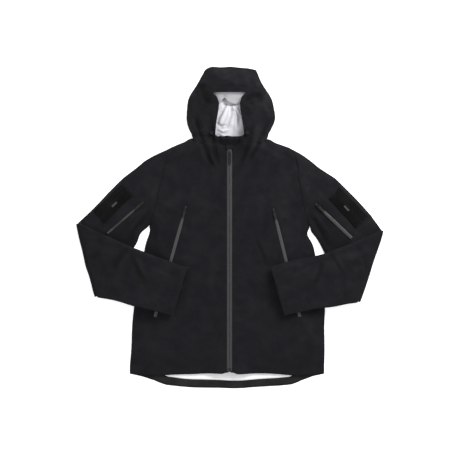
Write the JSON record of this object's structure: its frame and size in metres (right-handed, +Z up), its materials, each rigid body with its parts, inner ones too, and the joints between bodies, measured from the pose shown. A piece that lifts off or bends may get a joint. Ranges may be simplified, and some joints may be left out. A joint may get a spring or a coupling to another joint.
{
  "type": "hardshell jacket",
  "caption": "Hooded waterproof shell jacket laid flat with folded sleeves, front zip, chest and arm zips, loop patches, stiff-brimmed hood and cord locks.",
  "frame": {"origin": "on the surface the jacket lies on, under the middle of its outline with the sleeves folded in", "axes": "+Z up from the surface, out of the front; +Y from the tail to the hood; +X to the viewer's right, which is the wearer's left"},
  "size_m": [0.9023, 0.9646, 0.0503],
  "materials": {
    "shell_cloth": "matt woven face",
    "inner_laminate": "matt white laminate",
    "lining_tape": "matt knitted",
    "loop_pile": "brushed loop pile",
    "zip_film": "matt polyurethane film",
    "slider_metal": "black lacquer",
    "moulded_plastic": "fine matt"
  },
  "bodies": {
    "torso": {"back_panel": "shell_cloth", "back_lining": "inner_laminate", "back_hem_facing": "lining_tape", "back_neck_facing": "lining_tape", "blank_label": "zip_film", "hanger_loop": "lining_tape", "storm_flap": "lining_tape", "front_panel_left": "shell_cloth", "main_zip_tape_left": "zip_film", "pocket_zip_left": "zip_film", "arm_zip_left": "zip_film", "pocket_bag_left": "lining_tape", "sleeve_back_left": "shell_cloth", "sleeve_front_left": "shell_cloth", "loop_field_left": "loop_pile", "blank_tag_left": "zip_film", "elbow_fold_left": "shell_cloth", "neck_band_front_left": "shell_cloth", "front_panel_right": "shell_cloth", "main_zip_tape_right": "zip_film", "pocket_zip_right": "zip_film", "arm_zip_right": "zip_film", "pocket_bag_right": "lining_tape", "sleeve_back_right": "shell_cloth", "sleeve_front_right": "shell_cloth", "loop_field_right": "loop_pile", "blank_tag_right": "zip_film", "elbow_fold_right": "shell_cloth", "neck_band_front_right": "shell_cloth", "main_zip_retainer_box": "moulded_plastic", "main_zip_garage": "zip_film", "neck_band_back": "shell_cloth", "chin_guard": "shell_cloth"},
    "main_zip_slider": {"main_zip_slider": "slider_metal"},
    "main_zip_puller": {"main_zip_puller": "moulded_plastic"},
    "pocket_slider_left": {"pocket_slider_left": "slider_metal"},
    "pocket_puller_left": {"pocket_puller_left": "moulded_plastic"},
    "arm_slider_left": {"arm_slider_left": "slider_metal"},
    "arm_puller_left": {"arm_puller_left": "moulded_plastic"},
    "forearm_left": {"forearm_under_left": "shell_cloth", "forearm_over_left": "shell_cloth", "cuff_facing_left": "lining_tape"},
    "cord_plunger_left": {"cord_plunger_left": "moulded_plastic"},
    "pocket_slider_right": {"pocket_slider_right": "slider_metal"},
    "pocket_puller_right": {"pocket_puller_right": "moulded_plastic"},
    "arm_slider_right": {"arm_slider_right": "slider_metal"},
    "arm_puller_right": {"arm_puller_right": "moulded_plastic"},
    "forearm_right": {"forearm_under_right": "shell_cloth", "forearm_over_right": "shell_cloth", "cuff_facing_right": "lining_tape"},
    "cord_plunger_right": {"cord_plunger_right": "moulded_plastic"},
    "hood": {"hood_back": "shell_cloth", "hood_lining": "inner_laminate", "hood_side_left": "shell_cloth", "hood_side_right": "shell_cloth", "hood_brim": "shell_cloth", "brim_stiffener": "moulded_plastic", "hood_cord": "lining_tape", "cord_lock_left": "moulded_plastic", "cord_lock_right": "moulded_plastic"}
  },
  "joints": [
    {"name": "main_zip_slide", "type": "slide", "parent": "torso", "child": "main_zip_slider", "axis": [0, -1, 0], "range_m": [0, 0.6315]},
    {"name": "main_puller_tilt", "type": "hinge", "parent": "main_zip_slider", "child": "main_zip_puller", "pos_m": [0, 0.2158, 0.02878], "axis": [-1, 0, 0], "range_deg": [0, 150]},
    {"name": "pocket_zip_slide_left", "type": "slide", "parent": "torso", "child": "pocket_slider_left", "axis": [-0.2697, -0.9629, 0], "range_m": [0, 0.3298]},
    {"name": "pocket_puller_tilt_left", "type": "hinge", "parent": "pocket_slider_left", "child": "pocket_puller_left", "pos_m": [-0.13269, 0.05141, 0.02878], "axis": [-0.9629, 0.2697, 0], "range_deg": [0, 150]},
    {"name": "arm_zip_slide_left", "type": "slide", "parent": "torso", "child": "arm_slider_left", "axis": [-0.7534, -0.6575, 0], "range_m": [0, 0.131]},
    {"name": "arm_puller_tilt_left", "type": "hinge", "parent": "arm_slider_left", "child": "arm_puller_left", "pos_m": [-0.2645, 0.06745, 0.02878], "axis": [-0.6575, 0.7534, 0], "range_deg": [0, 150]},
    {"name": "elbow_left", "type": "hinge", "parent": "torso", "child": "forearm_left", "pos_m": [-0.44427, 0.00907, 0.014], "axis": [0.2593, -0.9658, 0], "range_deg": [0, 160], "deforming": ["elbow_fold_left"]},
    {"name": "plunger_left", "type": "slide", "parent": "hood", "child": "cord_plunger_left", "axis": [0, 0, -1], "range_m": [0, 0.0025], "stiffness_N_per_m": 400, "springref_m": -0.002},
    {"name": "pocket_zip_slide_right", "type": "slide", "parent": "torso", "child": "pocket_slider_right", "axis": [0.239, -0.971, 0], "range_m": [0, 0.3197]},
    {"name": "pocket_puller_tilt_right", "type": "hinge", "parent": "pocket_slider_right", "child": "pocket_puller_right", "pos_m": [0.13338, 0.04433, 0.02878], "axis": [-0.971, -0.239, 0], "range_deg": [0, 150]},
    {"name": "arm_zip_slide_right", "type": "slide", "parent": "torso", "child": "arm_slider_right", "axis": [0.7235, -0.6903, 0], "range_m": [0, 0.1357]},
    {"name": "arm_puller_tilt_right", "type": "hinge", "parent": "arm_slider_right", "child": "arm_puller_right", "pos_m": [0.26521, 0.06112, 0.02878], "axis": [-0.6903, -0.7235, 0], "range_deg": [0, 150]},
    {"name": "elbow_right", "type": "hinge", "parent": "torso", "child": "forearm_right", "pos_m": [0.44438, -0.00955, 0.014], "axis": [0.3066, 0.9518, 0], "range_deg": [0, 160], "deforming": ["elbow_fold_right"]},
    {"name": "plunger_right", "type": "slide", "parent": "hood", "child": "cord_plunger_right", "axis": [0, 0, -1], "range_m": [0, 0.0025], "stiffness_N_per_m": 400, "springref_m": -0.002},
    {"name": "hood_fold", "type": "hinge", "parent": "torso", "child": "hood", "pos_m": [0, 0.261, 0.046], "axis": [1, 0, 0], "range_deg": [0, 178], "deforming": ["neck_band_back", "neck_band_front_left", "neck_band_front_right"]}
  ]
}
